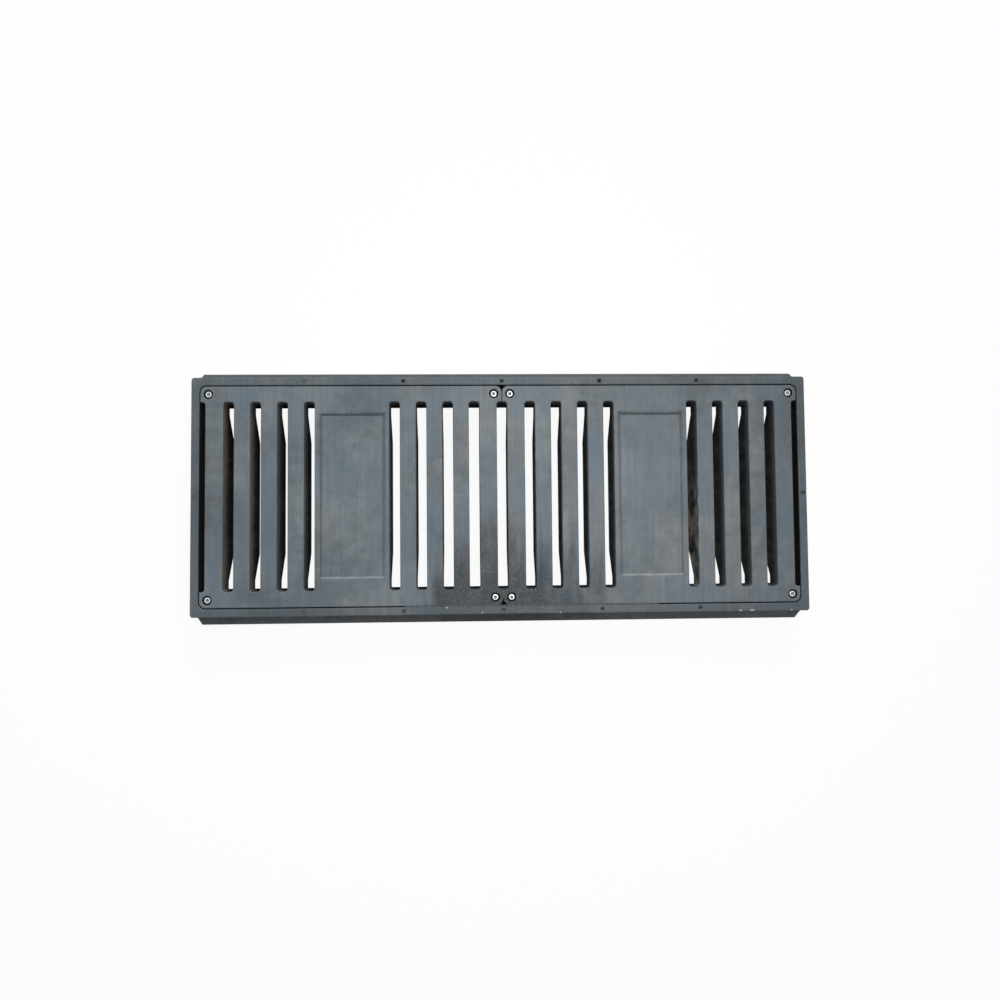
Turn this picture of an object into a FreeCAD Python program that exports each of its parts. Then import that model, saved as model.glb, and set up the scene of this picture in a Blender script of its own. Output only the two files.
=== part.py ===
"""Trench drain grate: two slotted grates screwed down side by side in one frame.

Millimetres. X runs along the trench, Y across it, Z up. The origin is on the ground under the
middle of the frame.
"""
import FreeCAD
import Part
import Sketcher
import os

# The sizes that drive the model: name, value, meaning.
DRIVING_SIZES = (
    ("frame_length", 1000, "frame, over the rim, along the trench"),
    ("frame_width", 385, "frame, over the rim, across the trench"),
    ("rim_width", 13, "rim and upright wall, thickness"),
    ("rim_bevel", 1.2, "bevel of the rim's edges"),
    ("rim_corner", 3, "bevel of the frame's upright outer corners"),
    ("seat_depth", 38, "seat of the grates, below the rim"),
    ("seat_height", 34, "seat of the grates, above the ground"),
    ("ledge_width", 29.5, "ledge under the grates, inwards from the wall"),
    ("ledge_thickness", 14, "ledge under the grates, thickness"),
    ("wall_drop", 34, "upright outer wall, from the rim to the flare"),
    ("foot_reach", 17.5, "foot, outwards from the wall"),
    ("foot_edge", 7, "upright edge of the foot, height"),
    ("foot_width", 13, "foot, width of the strip it stands on"),
    ("gusset_pitch", 160, "gussets under the ledge, spacing"),
    ("gusset_width", 10, "gussets under the ledge, thickness"),
    ("gusset_margin", 80, "least distance from a gusset to the inside of an end wall"),
    ("notch_width", 6, "notch in the rim over each gusset, along the rim"),
    ("notch_margin", 3, "notch in the rim over each gusset, margin to the rim's edges"),
    ("notch_depth", 3, "notch in the rim over each gusset, depth"),
    ("grate_gap", 1.5, "gap between the grates and the frame"),
    ("joint_gap", 0.8, "gap between the two grates"),
    ("corner_radius", 10, "upright corners of a grate"),
    ("edge_bevel", 1, "bevel of a grate's top edges"),
    ("slot_width", 17, "slot, width"),
    ("slot_corner", 5, "slot, rounding of its corners"),
    ("slot_pitch", 43, "slots, spacing"),
    ("slot_border", 25.5, "border between the slots' ends and a grate's edge"),
    ("narrowest_bar", 18, "narrowest bar allowed beside a half-slot"),
    ("panel_width", 120, "plain panel between a grate's two groups of slots"),
    ("panel_thickness", 16, "plain panel, thickness between its ribs"),
    ("recess_side", 8.75, "label recess, margin to the slots beside it"),
    ("recess_end", 19.5, "label recess, margin to the line of the slots' ends"),
    ("recess_depth", 3.5, "label recess, depth"),
    ("recess_bevel", 3, "label recess, bevel of its edge"),
    ("belly_gap", 14, "gap between the ledge and the deep part of the bars"),
    ("belly_lift", 5, "lowest point of the bars, above the ground"),
    ("belly_run", 43, "slope at each end of the bars' deep part, length"),
    ("belly_round", 10, "rounding between the slopes and the bars' lowest stretch"),
    ("screw_diameter", 6, "screw thread, diameter"),
    ("screw_gap", 0.3, "screw shank in the grate, gap all round"),
    ("thread_gap", 0.1, "screw thread in its insert, gap all round"),
    ("thread_engagement", 10, "screw, length below the seat"),
    ("head_diameter", 10, "screw head, diameter"),
    ("head_height", 6, "screw head, height"),
    ("socket_width", 5, "hexagon socket, across flats"),
    ("socket_depth", 3, "hexagon socket, depth"),
    ("counterbore_diameter", 15, "counterbore round a screw head, diameter"),
    ("counterbore_depth", 8, "counterbore round a screw head, depth"),
    ("insert_width", 10, "hexagonal threaded insert, across flats"),
    ("insert_lift", 2, "hexagonal threaded insert, above the ledge's underside"),
    ("insert_gap", 0.05, "threaded insert in the ledge, gap all round"),
)

# Sizes that follow from the ones above: name, formula, meaning.
DERIVED_SIZES = (
    ("frame_height", "seat_depth + seat_height", "frame, over all"),
    ("opening_length", "frame_length - 2 * rim_width", "opening inside the rim, along the trench"),
    ("opening_width", "frame_width - 2 * rim_width", "opening inside the rim, across the trench"),
    ("clear_width", "opening_width - 2 * ledge_width", "clear opening between the ledges"),
    ("ledge_bottom", "seat_height - ledge_thickness", "underside of the ledge, above the ground"),
    ("flare_top", "frame_height - wall_drop", "start of the flare, above the ground"),
    ("foot_out", "frame_width / 2 + foot_reach", "outer edge of the foot, from the middle"),
    ("foot_in", "foot_out - foot_width", "inner edge of the foot, from the middle"),
    ("gusset_pairs", "floor((opening_length / 2 - gusset_margin) / gusset_pitch)", "gussets a half"),
    ("gussets", "2 * gusset_pairs + 1", "gussets under one ledge"),
    ("first_gusset", "-gusset_pairs * gusset_pitch", "first gusset, from the frame's middle"),
    ("notch_length", "rim_width - 2 * notch_margin", "notch over each gusset, across the rim"),
    ("grate_length", "(opening_length - joint_gap) / 2 - grate_gap", "one grate, along the trench"),
    ("grate_width", "opening_width - 2 * grate_gap", "one grate, across the trench"),
    ("grate_shift", "(grate_length + joint_gap) / 2", "middle of a grate, from the frame's middle"),
    ("slot_length", "grate_width - 2 * slot_border", "slot, length"),
    ("first_slot", "(panel_width + slot_width) / 2", "first slot, from the grate's middle"),
    ("slot_room", "grate_shift - slot_width - narrowest_bar - first_slot", "room for further slots"),
    ("slots_a_side", "floor(slot_room / slot_pitch) + 1", "slots on each side of the panel"),
    ("hollow_shift", "first_slot - slot_pitch", "hollow under the panel, from the grate's middle"),
    ("panel_bottom", "frame_height - panel_thickness", "underside of the panel, above the ground"),
    ("recess_width", "panel_width - 2 * recess_side", "label recess, along the trench"),
    ("recess_length", "slot_length - 2 * recess_end", "label recess, across the trench"),
    ("belly_span", "clear_width / 2 - belly_gap", "half the length of the bars' deep part"),
    ("belly_flat", "belly_span - belly_run", "half the length of the bars' lowest stretch"),
    ("screw_x", "(grate_length - slot_border) / 2", "screws, from the grate's middle, along"),
    ("screw_y", "(grate_width - slot_border) / 2", "screws, from the grate's middle, across"),
    ("head_seat", "frame_height - counterbore_depth", "under the screw heads, above the ground"),
    ("insert_length", "ledge_thickness - insert_lift", "hexagonal threaded insert, length"),
    ("screw_tip", "seat_height - thread_engagement", "end of the screws, above the ground"),
)

TOUCH = 1e-4  # distance within which two measures of the built solid count as the same
HEXAGON_TURN = 15  # degrees by which a hexagon is turned from the X axis


def make_sheet(doc):
    """The table of sizes, with each size under its own name."""
    sheet = doc.addObject("Spreadsheet::Sheet", "sizes")
    rows = [(name, str(value), meaning) for name, value, meaning in DRIVING_SIZES]
    rows += [(name, "=" + formula, meaning) for name, formula, meaning in DERIVED_SIZES]
    for row, (name, content, meaning) in enumerate(rows, start=1):
        sheet.set(f"A{row}", meaning)
        sheet.set(f"B{row}", content)
        sheet.setAlias(f"B{row}", name)
        doc.recompute()
    return sheet


def make_body(doc, label):
    body = doc.addObject("PartDesign::Body", label)
    body.Label = label
    return body


def origin_feature(body, role):
    return next(item for item in body.Origin.OriginFeatures if item.Role == role)


def new_sketch(body, name, plane, level=None):
    """A sketch on one of the body's own planes, raised to a level above the ground."""
    sketch = body.newObject("Sketcher::SketchObject", name)
    sketch.AttachmentSupport = [(origin_feature(body, plane), "")]
    sketch.MapMode = "FlatFace"
    if level:
        sketch.setExpression("AttachmentOffset.Base.z", level)
    return sketch


def measure(sketch, formula):
    return float(sketch.evalExpression(formula))


def place_point(sketch, item, point, across, along):
    """Ties a point of the sketch to the two formulas for its place."""
    axes = (("DistanceX", across, -2), ("DistanceY", along, -1))
    for kind, formula, axis in axes:
        value = measure(sketch, formula)
        if formula == "0":
            sketch.addConstraint(Sketcher.Constraint("PointOnObject", item, point, axis))
        else:
            index = sketch.addConstraint(Sketcher.Constraint(kind, -1, 1, item, point, value))
            sketch.setExpression(f"Constraints[{index}]", formula)


def draw_polygon(sketch, corners):
    """A closed outline of straight sides, with two formulas for each corner."""
    places = [FreeCAD.Vector(measure(sketch, x), measure(sketch, y), 0) for x, y in corners]
    sides = []
    for start, end in zip(places, places[1:] + places[:1]):
        sides.append(sketch.addGeometry(Part.LineSegment(start, end)))
    for side, following in zip(sides, sides[1:] + sides[:1]):
        sketch.addConstraint(Sketcher.Constraint("Coincident", side, 2, following, 1))
    for side, (x, y) in zip(sides, corners):
        place_point(sketch, side, 1, x, y)


def draw_rectangle(sketch, length, width, x="0", y="0"):
    """A rectangle of the given length and width about a middle point."""
    low_x, high_x = f"({x}) - ({length}) / 2", f"({x}) + ({length}) / 2"
    low_y, high_y = f"({y}) - ({width}) / 2", f"({y}) + ({width}) / 2"
    draw_polygon(sketch, [(low_x, low_y), (high_x, low_y), (high_x, high_y), (low_x, high_y)])


def draw_circle(sketch, diameter, x, y):
    centre = FreeCAD.Vector(measure(sketch, x), measure(sketch, y), 0)
    radius = measure(sketch, diameter) / 2
    circle = sketch.addGeometry(Part.Circle(centre, FreeCAD.Vector(0, 0, 1), radius))
    index = sketch.addConstraint(Sketcher.Constraint("Diameter", circle, 2 * radius))
    sketch.setExpression(f"Constraints[{index}]", diameter)
    place_point(sketch, circle, 3, x, y)


def draw_hexagon(sketch, width, x, y):
    """A hexagon of the given width across flats about a middle point."""
    reach = f"({width}) / sqrt(3)"
    corners = []
    for angle in range(HEXAGON_TURN, HEXAGON_TURN + 360, 60):
        corners.append((f"{x} + {reach} * cos({angle} deg)", f"{y} + {reach} * sin({angle} deg)"))
    draw_polygon(sketch, corners)


def extrude(body, kind, sketch, length, symmetric=False):
    """Pads or pockets a sketch; a pocket goes down from the sketch."""
    feature = body.newObject(f"PartDesign::{kind}", f"{sketch.Name}_{kind.lower()}")
    feature.Profile = sketch
    feature.setExpression("Length", length)
    if symmetric:
        feature.SideType = "Symmetric"
    return feature


def repeat(body, feature, count=None, pitch=None, mirrors=()):
    """Repeats a feature in a row along X, then mirrors the row in the named planes."""
    steps = []
    whole = body.newObject("PartDesign::MultiTransform", f"{feature.Name}_repeat")
    whole.Originals = [feature]
    if count:
        row = body.newObject("PartDesign::LinearPattern", f"{feature.Name}_row")
        row.Direction = (origin_feature(body, "X_Axis"), [""])
        row.Mode = "Spacing"
        row.setExpression("Offset", pitch)
        row.setExpression("Occurrences", count)
        steps.append(row)
    for plane in mirrors:
        mirror = body.newObject("PartDesign::Mirrored", f"{feature.Name}_mirror")
        mirror.MirrorPlane = (origin_feature(body, plane), [""])
        steps.append(mirror)
    whole.Transformations = steps
    body.Tip = whole
    return whole


def dress_edges(body, kind, name, size, test):
    """Rounds or bevels each edge of the solid so far that passes the test."""
    body.Document.recompute()
    base = body.Tip
    names = [f"Edge{i}" for i, edge in enumerate(base.Shape.Edges, start=1) if test(edge)]
    dressing = body.newObject(f"PartDesign::{kind}", name)
    dressing.Base = (base, names)
    dressing.setExpression({"Fillet": "Radius", "Chamfer": "Size"}[kind], size)
    body.Tip = dressing
    return dressing


def is_upright(edge):
    box = edge.BoundBox
    return box.XLength < TOUCH and box.YLength < TOUCH


def is_level(edge, height):
    box = edge.BoundBox
    return abs(box.ZMin - height) < TOUCH and abs(box.ZMax - height) < TOUCH


def make_frame(doc):
    """The frame: rim and wall, ledges with gussets under them, and a flared foot on each long side."""
    body = make_body(doc, "frame")
    top = doc.sizes.frame_height

    block = new_sketch(body, "rim_block", "XY_Plane")
    draw_rectangle(block, "sizes.frame_length", "sizes.frame_width")
    extrude(body, "Pad", block, "sizes.frame_height")
    dress_edges(body, "Chamfer", "rim_corners", "sizes.rim_corner", is_upright)

    flare = new_sketch(body, "foot_flare", "YZ_Plane")
    draw_polygon(flare, [
        ("sizes.frame_width / 2 - sizes.rim_corner", "0"),
        ("sizes.foot_out", "0"),
        ("sizes.foot_out", "sizes.foot_edge"),
        ("sizes.frame_width / 2", "sizes.flare_top"),
        ("sizes.frame_width / 2 - sizes.rim_corner", "sizes.flare_top"),
    ])
    pad = extrude(body, "Pad", flare, "sizes.frame_length", symmetric=True)
    repeat(body, pad, mirrors=("XZ_Plane",))

    opening = new_sketch(body, "grate_opening", "XY_Plane", "sizes.frame_height")
    draw_rectangle(opening, "sizes.opening_length", "sizes.opening_width")
    extrude(body, "Pocket", opening, "sizes.seat_depth")

    half_length = doc.sizes.opening_length / 2
    half_width = doc.sizes.opening_width / 2

    def is_opening_corner(edge):
        box = edge.BoundBox
        beside_wall = abs(abs(box.YMin) - half_width) < TOUCH
        return is_upright(edge) and beside_wall and abs(abs(box.XMin) - half_length) < TOUCH

    opening_radius = "sizes.corner_radius + sizes.grate_gap"
    dress_edges(body, "Fillet", "opening_corners", opening_radius, is_opening_corner)

    clear = new_sketch(body, "clear_opening", "XY_Plane", "sizes.seat_height")
    draw_rectangle(clear, "sizes.opening_length", "sizes.clear_width")
    extrude(body, "Pocket", clear, "sizes.seat_height")

    hollow = new_sketch(body, "ledge_hollow", "YZ_Plane")
    draw_polygon(hollow, [
        ("sizes.clear_width / 2", "0"),
        ("sizes.foot_in", "0"),
        ("sizes.opening_width / 2", "sizes.ledge_bottom"),
        ("sizes.clear_width / 2", "sizes.ledge_bottom"),
    ])
    pocket = extrude(body, "Pocket", hollow, "sizes.opening_length", symmetric=True)
    repeat(body, pocket, mirrors=("XZ_Plane",))

    gusset = new_sketch(body, "gusset", "YZ_Plane", "sizes.first_gusset")
    draw_polygon(gusset, [
        ("sizes.clear_width / 2", "sizes.ledge_bottom"),
        ("sizes.foot_in", "0"),
        ("sizes.opening_width / 2", "sizes.ledge_bottom"),
    ])
    pad = extrude(body, "Pad", gusset, "sizes.gusset_width", symmetric=True)
    repeat(body, pad, "sizes.gussets", "sizes.gusset_pitch", mirrors=("XZ_Plane",))

    holes = new_sketch(body, "insert_holes", "XY_Plane", "sizes.seat_height")
    for x, y in screw_places():
        draw_hexagon(holes, "sizes.insert_width + 2 * sizes.insert_gap", x, y)
    extrude(body, "Pocket", holes, "sizes.ledge_thickness")

    dress_edges(
        body, "Chamfer", "rim_edges", "sizes.rim_bevel", lambda edge: is_level(edge, top)
    )

    side_middle = "(sizes.frame_width - sizes.rim_width) / 2"
    long_notch = new_sketch(body, "long_side_notch", "XY_Plane", "sizes.frame_height")
    draw_rectangle(
        long_notch, "sizes.notch_width", "sizes.notch_length", "sizes.first_gusset", side_middle
    )
    pocket = extrude(body, "Pocket", long_notch, "sizes.notch_depth")
    repeat(body, pocket, "sizes.gussets", "sizes.gusset_pitch", mirrors=("XZ_Plane",))

    end_middle = "(sizes.frame_length - sizes.rim_width) / 2"
    short_notch = new_sketch(body, "short_side_notch", "XY_Plane", "sizes.frame_height")
    draw_rectangle(short_notch, "sizes.notch_length", "sizes.notch_width", end_middle)
    pocket = extrude(body, "Pocket", short_notch, "sizes.notch_depth")
    repeat(body, pocket, mirrors=("YZ_Plane",))
    return body


def make_grate(doc, label, shift):
    """One grate: a bordered plate with two groups of slots, whose bars are deepest in the middle."""
    body = make_body(doc, label)
    body.setExpression("Placement.Base.x", shift)
    top = doc.sizes.frame_height

    plate = new_sketch(body, label + "_plate", "XY_Plane", "sizes.seat_height")
    draw_rectangle(plate, "sizes.grate_length", "sizes.grate_width")
    extrude(body, "Pad", plate, "sizes.seat_depth")
    dress_edges(body, "Fillet", label + "_corners", "sizes.corner_radius", is_upright)

    belly = new_sketch(body, label + "_belly", "YZ_Plane")
    draw_polygon(belly, [
        ("-sizes.belly_span", "sizes.seat_height"),
        ("-sizes.belly_flat", "sizes.belly_lift"),
        ("sizes.belly_flat", "sizes.belly_lift"),
        ("sizes.belly_span", "sizes.seat_height"),
    ])
    extrude(body, "Pad", belly, "sizes.grate_length", symmetric=True)
    lowest = doc.sizes.belly_lift

    def is_belly_corner(edge):
        return is_level(edge, lowest) and edge.BoundBox.YLength < TOUCH

    dress_edges(body, "Fillet", label + "_belly_corners", "sizes.belly_round", is_belly_corner)

    slot = cut_slot(body, label + "_slot", "sizes.first_slot")
    repeat(body, slot, "sizes.slots_a_side", "sizes.slot_pitch", mirrors=("YZ_Plane",))
    half_slot = cut_slot(body, label + "_half_slot", "sizes.grate_shift")
    repeat(body, half_slot, mirrors=("YZ_Plane",))
    slot_end = doc.sizes.slot_length / 2
    grate_end = doc.sizes.grate_length / 2

    def is_slot_corner(edge):
        box = edge.BoundBox
        at_slot_end = abs(abs(box.YMin) - slot_end) < TOUCH
        return is_upright(edge) and at_slot_end and abs(box.XMin) < grate_end - TOUCH

    dress_edges(body, "Fillet", label + "_slot_corners", "sizes.slot_corner", is_slot_corner)
    dress_edges(
        body, "Chamfer", label + "_top_edges", "sizes.edge_bevel", lambda edge: is_level(edge, top)
    )

    hollow = new_sketch(body, label + "_hollow", "XY_Plane", "sizes.panel_bottom")
    draw_rectangle(hollow, "sizes.slot_width", "2 * sizes.belly_span", "sizes.hollow_shift")
    pocket = extrude(body, "Pocket", hollow, "sizes.panel_bottom")
    repeat(body, pocket, mirrors=("YZ_Plane",))

    recess = new_sketch(body, label + "_recess", "XY_Plane", "sizes.frame_height")
    draw_rectangle(recess, "sizes.recess_width", "sizes.recess_length")
    extrude(body, "Pocket", recess, "sizes.recess_depth")
    recess_reach = doc.sizes.recess_width / 2

    def is_recess_edge(edge):
        box = edge.BoundBox
        return is_level(edge, top) and max(-box.XMin, box.XMax) < recess_reach + TOUCH

    dress_edges(body, "Chamfer", label + "_recess_edges", "sizes.recess_bevel", is_recess_edge)

    corners = [(x, y) for x in (-1, 1) for y in (-1, 1)]
    bores = (
        ("counterbore", "sizes.counterbore_diameter", "sizes.counterbore_depth"),
        ("screw_hole", "sizes.screw_diameter + 2 * sizes.screw_gap", "sizes.seat_depth"),
    )
    for name, diameter, depth in bores:
        sketch = new_sketch(body, f"{label}_{name}", "XY_Plane", "sizes.frame_height")
        for x, y in corners:
            draw_circle(sketch, diameter, f"{x} * sizes.screw_x", f"{y} * sizes.screw_y")
        extrude(body, "Pocket", sketch, depth)
    return body


def cut_slot(body, name, x):
    """A slot cut right through a grate."""
    sketch = new_sketch(body, name, "XY_Plane", "sizes.frame_height")
    draw_rectangle(sketch, "sizes.slot_width", "sizes.slot_length", x)
    return extrude(body, "Pocket", sketch, "sizes.frame_height")


def screw_places():
    """Formulas for the eight screw axes, four to each grate."""
    signs = (-1, 1)
    return [
        (f"{side} * sizes.grate_shift + {end} * sizes.screw_x", f"{row} * sizes.screw_y")
        for side in signs for end in signs for row in signs
    ]


def make_screw(doc):
    """A socket head cap screw on the Z axis, at the height where it holds a grate."""
    body = make_body(doc, "screw")
    head = new_sketch(body, "screw_head", "XY_Plane", "sizes.head_seat")
    draw_circle(head, "sizes.head_diameter", "0", "0")
    extrude(body, "Pad", head, "sizes.head_height")

    shank = new_sketch(body, "screw_shank", "XY_Plane", "sizes.screw_tip")
    draw_circle(shank, "sizes.screw_diameter", "0", "0")
    extrude(body, "Pad", shank, "sizes.head_seat - sizes.screw_tip")

    socket = new_sketch(body, "screw_socket", "XY_Plane", "sizes.head_seat + sizes.head_height")
    draw_hexagon(socket, "sizes.socket_width", "0", "0")
    extrude(body, "Pocket", socket, "sizes.socket_depth")
    return body


def make_insert(doc):
    """A threaded insert on the Z axis, flush with the ledge."""
    body = make_body(doc, "insert")
    ring = new_sketch(body, "insert_ring", "XY_Plane", "sizes.seat_height - sizes.insert_length")
    draw_hexagon(ring, "sizes.insert_width", "0", "0")
    draw_circle(ring, "sizes.screw_diameter + 2 * sizes.thread_gap", "0", "0")
    extrude(body, "Pad", ring, "sizes.insert_length")
    return body


def make_group(doc, label, piece):
    """Copies of a fastener on all the screw axes."""
    links = []
    for number, (x, y) in enumerate(screw_places(), start=1):
        link = doc.addObject("App::Link", f"{label}_{number}")
        link.LinkedObject = piece
        link.setExpression("Placement.Base.x", x)
        link.setExpression("Placement.Base.y", y)
        links.append(link)
    group = doc.addObject("Part::Compound", label)
    group.Label = label
    group.Links = links
    return group


def check(doc, pieces):
    """Stops if any feature failed or any piece isn't a sound solid."""
    for item in doc.Objects:
        if "Invalid" in item.State or "Error" in item.State:
            raise RuntimeError(f"{item.Name} failed")
    for piece in pieces:
        shape = piece.Shape
        if shape.isNull() or not shape.isValid() or not shape.Solids:
            raise RuntimeError(f"{piece.Label} is not a sound solid")


def main():
    doc = FreeCAD.newDocument("drain_grate")
    make_sheet(doc)
    pieces = [
        make_frame(doc),
        make_grate(doc, "grate_left", "-sizes.grate_shift"),
        make_grate(doc, "grate_right", "sizes.grate_shift"),
        make_group(doc, "grate_screws", make_screw(doc)),
        make_group(doc, "threaded_inserts", make_insert(doc)),
    ]
    doc.recompute()
    check(doc, pieces)
    os.makedirs("parts", exist_ok=True)
    for piece in pieces:
        piece.Shape.exportStep(f"parts/{piece.Label}.step")


main()
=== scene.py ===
"""Looks of a trench drain grate: two moulded grates screwed down side by side in one frame.

Metres. X runs along the trench, Y across it, Z up, as in the frame that is loaded first.
"""

import bmesh
import bpy
import math
from mathutils import Matrix, Vector, noise


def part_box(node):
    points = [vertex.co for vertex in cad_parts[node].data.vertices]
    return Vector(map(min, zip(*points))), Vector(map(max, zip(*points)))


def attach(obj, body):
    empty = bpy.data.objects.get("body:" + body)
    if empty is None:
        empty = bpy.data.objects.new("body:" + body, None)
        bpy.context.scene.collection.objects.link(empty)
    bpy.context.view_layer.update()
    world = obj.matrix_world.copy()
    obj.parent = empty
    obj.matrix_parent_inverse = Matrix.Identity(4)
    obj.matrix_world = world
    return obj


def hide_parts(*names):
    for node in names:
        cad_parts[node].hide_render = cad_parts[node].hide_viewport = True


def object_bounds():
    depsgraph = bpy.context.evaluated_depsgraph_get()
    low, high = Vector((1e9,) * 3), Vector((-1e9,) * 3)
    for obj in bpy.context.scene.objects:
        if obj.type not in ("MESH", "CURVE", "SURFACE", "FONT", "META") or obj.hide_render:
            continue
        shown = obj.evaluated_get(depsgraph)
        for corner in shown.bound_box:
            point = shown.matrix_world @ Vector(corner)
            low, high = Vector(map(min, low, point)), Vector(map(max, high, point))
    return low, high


MM = 0.001

# Camera, fitted to the four corners of the rim; places are from the middle of the rim's plane.
PICTURE_SIDE = 1000
FOCAL_PIXELS = 834
SENSOR_WIDTH = 36
CAMERA_PLACE = Vector((-0.0531, -0.0697, 1.349))
CAMERA_TARGET = Vector((-0.0044, -0.0085, 0))
PICTURE_LEAN = 0.00905  # sideways lean of the picture's upright, as a slope

# Rounding of the edges as they come out of the mould.
WELD_DISTANCE = 0.002 * MM
FLAT_ANGLE = math.radians(0.5)
EDGE_ANGLE = math.radians(25)
EDGE_ROUND = 0.4 * MM
ROUND_STEPS = 3
UNDERSIDE_REACH = 0.1975  # the frame's edges nearer to its middle line and below the next stay sharp
UNDERSIDE_TOP = 0.0345
HOLLOW_HALF_WIDTH = 0.036  # and so do a grate's edges nearer to its middle and below the next
HOLLOW_TOP = 0.060
BEVEL_HEIGHT = 1.5 * MM  # slanted faces lower than this are bevelled edges
BEVEL_RISE = (0.4, 0.9)  # how far such a face looks up, least and most

# Places on the solids, from the middle of the frame.
FRONT_EDGE = -0.1925  # front edge of the rim, in Y
INNER_END = 0.487  # inside of the rim, in X
INNER_SIDE = 0.1795  # inside of the rim, in Y
GRATE_MIDDLE = 0.24295  # middle of a grate, in X
SCREW_X = 0.2298  # screws from the middle of their grate
SCREW_Y = 0.16525
COUNTERBORE_RADIUS = 7.5 * MM
RECESS_X = 49.8 * MM  # middle of the recess edge's slope, from the middle of its grate
RECESS_Y = 131.5 * MM
RECESS_EDGE_REACH = 2.6 * MM

# Soil trodden in along the front.
SOIL_MIDDLE = (0.008, -0.178, 0)
SOIL_REACH = (0.20, 0.16, 1)

# Dust and mud on the slots' walls, in X.
DUST_LEFT_FULL = -0.44  # full to the left of this, nearly none from the next on
DUST_LEFT_END = -0.33
MUD_SLOT = 0.318

# A stain and light chips on the front of the rim.
STAIN_MIDDLE = (-0.308, -0.187, 0)
STAIN_REACH = (0.035, 0.006, 1)
CHIPS = (  # X, distance from the front edge and half-length, in millimetres
    (-91, 11.5, 2.4), (-34, 3, 1.8), (92, 1.5, 1.8), (386, 1, 3.5), (405, 1, 5), (470, 1, 2.5),
)
CHIP_SLIMNESS = 1.7
CHIP_RAGGEDNESS = 6 * MM
CHIP_CORE = 0.6  # share of a chip's half-length that is light all through

# How strongly each effect covers the compound.
TINT_SHARE = 0.6
STREAK_SHARE = 0.35
FLECK_SHARE = 0.18
SCRATCH_SHARE = 0.5
WEAR_SHARE = 0.35
SOIL_SHARE = 0.75
GRIT_SHARE = 0.5
FILM_AND_SHADE_SHARE = 0.85
DIRT_AND_SHADE_SHARE = 0.75
DUST_SHARE = 0.8
MUD_SHARE = 0.9
COUNTERBORE_SHADE_SHARE = 0.9
STAIN_SHARE = 0.5
CHIP_SHARE = 0.85

# Soil packed into the front seam, the joint of the grates and the notches of the rim.
SEAM_FROM = -0.158
SEAM_TO = 0.251
SEAM_MIDDLE = -0.17875
SEAM_GAP = 1.5 * MM
SEAM_FRONT_BEVEL = 1.2 * MM
GRATE_BEVEL = 1 * MM
JOINT_GAP = 0.8 * MM
JOINT_FROM = 0.1535
JOINT_TO = 0.167
NOTCH_PITCH = 0.160
NOTCH_LINE = 0.186
NOTCH_END = 0.4935
NOTCH_ALONG = 6 * MM
NOTCH_ACROSS = 7 * MM
NOTCH_DEPTH = 3 * MM
NOTCH_SINKS = {  # how far the soil lies below the rim, in millimetres: back and front, from left to right
    1: (0.3, 1.9, 1.8, 2.2, 1.9),
    -1: (0.3, 1.2, 1.4, 1.5, 1.6),
}
END_SINKS = {-1: 0.3, 1: 1.4}  # the same in the notches of the left and right ends
NOTCH_DISH = 0.75  # how much less the soil lies below the rim at a notch's two ends, as a share
SOIL_CLEAR = 0.06 * MM  # kept between the soil and the walls beside it
SOIL_DEPTH = 4 * MM
SOIL_STEP = 1.5 * MM
SOIL_TAPER = 2.5 * MM  # length over which a strip thins out at its ends
STRIP_SINK = 0.2 * MM  # how far a strip lies below the rim
STRIP_END_SINK = 0.45 * MM  # and how much further at its ends
STRIP_ROUGHNESS = 0.1 * MM
PLUG_ROUGHNESS = 0.3 * MM
PLUG_SECTIONS = 6
PLUG_POINTS = 5  # points across the top of each section
SOIL_SHARP_ANGLE = math.radians(40)

# Light.
SKY_LEVEL = 0.21
SKY_FRONT = (0.58, 0.63, 0.70, 1)
SKY_BEHIND = (0.90, 1.0, 1.12, 1)
LAMPS = (  # name, place, size, power, colour, spread in degrees
    ("lamp_far", (0.45, 3.3, 2.4), 1.8, 70.0, (1.0, 0.98, 0.95), 180),
    ("lamp_over", (0.17, 0.09, 1.15), 0.5, 1.95, (1.0, 0.97, 0.93), 110),
    ("lamp_left", (-1.3, 0.1, 0.9), 0.8, 1.3, (0.50, 0.78, 1.0), 120),
)

# Floor.
FLOOR_REACH = 6
FLOOR_GLOW = 1.06
GLOW_SHARE = 0.88
SHADE_EDGE = 0.05  # width over which the floor darkens under the object

# Socket screws.
HEAD_RADIUS = 5 * MM
HEAD_HEIGHT = 6 * MM
HEAD_BEVEL = 0.5 * MM
KNURL_DEPTH = 0.12 * MM
SOCKET_WIDTH = 5 * MM
SOCKET_DEPTH = 3 * MM
SOCKET_TAPER = 1.2 * MM
SHANK_RADIUS = 3 * MM
THREAD_PITCH = 1 * MM
THREAD_DEPTH = 0.5 * MM
THREAD_LENGTH = 22 * MM
SCREW_SIDES = 48
THREAD_STEPS = 6
SCREW_TURN = math.radians(47)  # from one screw to the next
SCREW_SHARP_ANGLE = math.radians(35)

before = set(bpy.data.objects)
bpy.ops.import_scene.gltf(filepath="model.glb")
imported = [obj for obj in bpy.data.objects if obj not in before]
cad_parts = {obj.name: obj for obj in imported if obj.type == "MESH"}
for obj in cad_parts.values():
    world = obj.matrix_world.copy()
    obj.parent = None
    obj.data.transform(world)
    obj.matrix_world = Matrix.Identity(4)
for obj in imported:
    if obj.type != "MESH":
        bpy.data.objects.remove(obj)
cad_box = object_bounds()
scene = bpy.context.scene
RIM_LEVEL = cad_box[1].z


def srgb(red, green, blue):
    """A colour as it looks on screen, from 0 to 255, in the linear values that shaders take."""
    def linear(value):
        value /= 255
        return value / 12.92 if value <= 0.04045 else ((value + 0.055) / 1.055) ** 2.4

    return (linear(red), linear(green), linear(blue), 1.0)


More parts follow.
